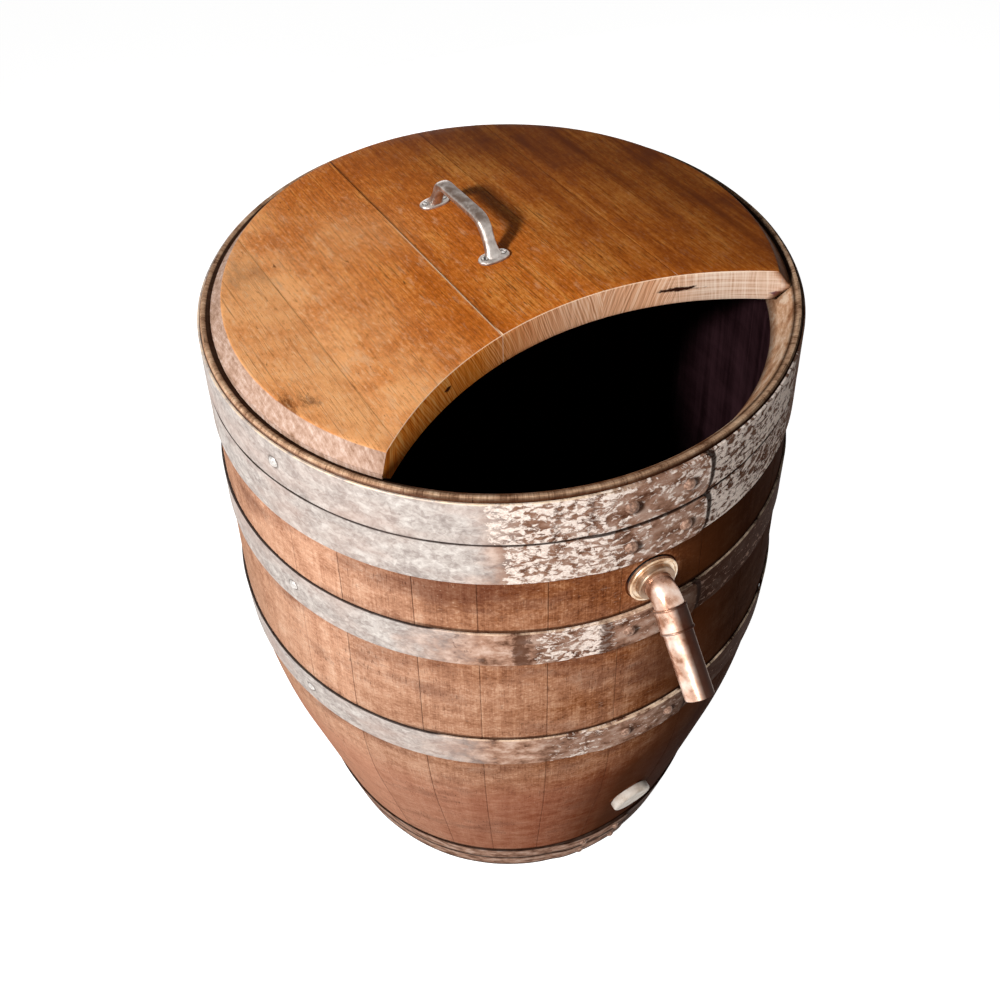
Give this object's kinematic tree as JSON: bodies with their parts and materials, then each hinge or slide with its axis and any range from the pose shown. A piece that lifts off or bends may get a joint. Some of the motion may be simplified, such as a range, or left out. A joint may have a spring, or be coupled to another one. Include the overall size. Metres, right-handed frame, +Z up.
{
  "type": "water barrel",
  "caption": "Upright oak stave barrel for rain water, with riveted hoops, a lift-off lid with a curved cut-out and bar handle, a copper overflow spout and a drain bung.",
  "frame": {"origin": "centre of the ring of stave ends that the barrel stands on", "axes": "+Z up along the barrel's axis; -Y is the front; the spout and the bung are on the +X side of the front"},
  "size_m": [0.6936, 0.7333, 0.954],
  "materials": {
    "oak_staves": "weathered, waxed oak",
    "head_oak": "oiled oak, saw-cut edge",
    "batten_oak": "planed oak",
    "peg_wood": "turned hardwood",
    "hoop_steel": "galvanised steel with worn zinc and rust",
    "rivet_steel": "rusty steel",
    "nail_steel": "bright steel",
    "screw_steel": "plated steel",
    "cast_aluminium": "polished casting",
    "fitting_brass": "polished brass",
    "copper": "polished copper, some tarnish",
    "gasket_rubber": "black rubber",
    "bung_silicone": "off-white silicone"
  },
  "bodies": {
    "barrel": {"stave_01": "oak_staves", "stave_02": "oak_staves", "stave_03": "oak_staves", "stave_04": "oak_staves", "stave_05": "oak_staves", "stave_06": "oak_staves", "stave_07": "oak_staves", "stave_08": "oak_staves", "stave_09": "oak_staves", "stave_10": "oak_staves", "stave_11": "oak_staves", "stave_12": "oak_staves", "stave_13": "oak_staves", "stave_14": "oak_staves", "stave_15": "oak_staves", "stave_16": "oak_staves", "stave_17": "oak_staves", "stave_18": "oak_staves", "stave_19": "oak_staves", "stave_20": "oak_staves", "stave_21": "oak_staves", "stave_22": "oak_staves", "stave_23": "oak_staves", "stave_24": "oak_staves", "stave_25": "oak_staves", "stave_26": "oak_staves", "stave_27": "oak_staves", "stave_28": "oak_staves", "bottom_chime_hoop": "hoop_steel", "bottom_neck_hoop": "hoop_steel", "bilge_hoop": "hoop_steel", "quarter_hoop": "hoop_steel", "top_neck_hoop": "hoop_steel", "top_chime_hoop": "hoop_steel", "hoop_rivets": "rivet_steel", "hoop_nails": "nail_steel", "bottom_board_1": "head_oak", "bottom_board_2": "head_oak", "bottom_board_3": "head_oak", "bottom_board_4": "head_oak", "bottom_board_5": "head_oak", "bottom_dowels": "peg_wood", "spout_fitting": "fitting_brass", "spout_gasket": "gasket_rubber", "spout_locknut": "fitting_brass", "spout_elbow": "copper", "spout_sleeve": "copper", "spout_tube": "copper"},
    "lid": {"lid_board_1": "head_oak", "lid_board_2": "head_oak", "lid_board_3": "head_oak", "lid_board_4": "head_oak", "lid_board_5": "head_oak", "lid_dowels": "peg_wood", "lid_battens": "batten_oak", "batten_screws": "screw_steel", "handle": "cast_aluminium", "handle_screws": "screw_steel"},
    "bung": {"bung": "bung_silicone"}
  },
  "joints": [
    {"name": "lid_lift", "type": "slide", "parent": "barrel", "child": "lid", "axis": [0, 0, 1], "range_m": [0, 0.25]},
    {"name": "bung_pull", "type": "slide", "parent": "barrel", "child": "bung", "axis": [0.4891, -0.8645, -0.1161], "range_m": [0, 0.06]}
  ]
}
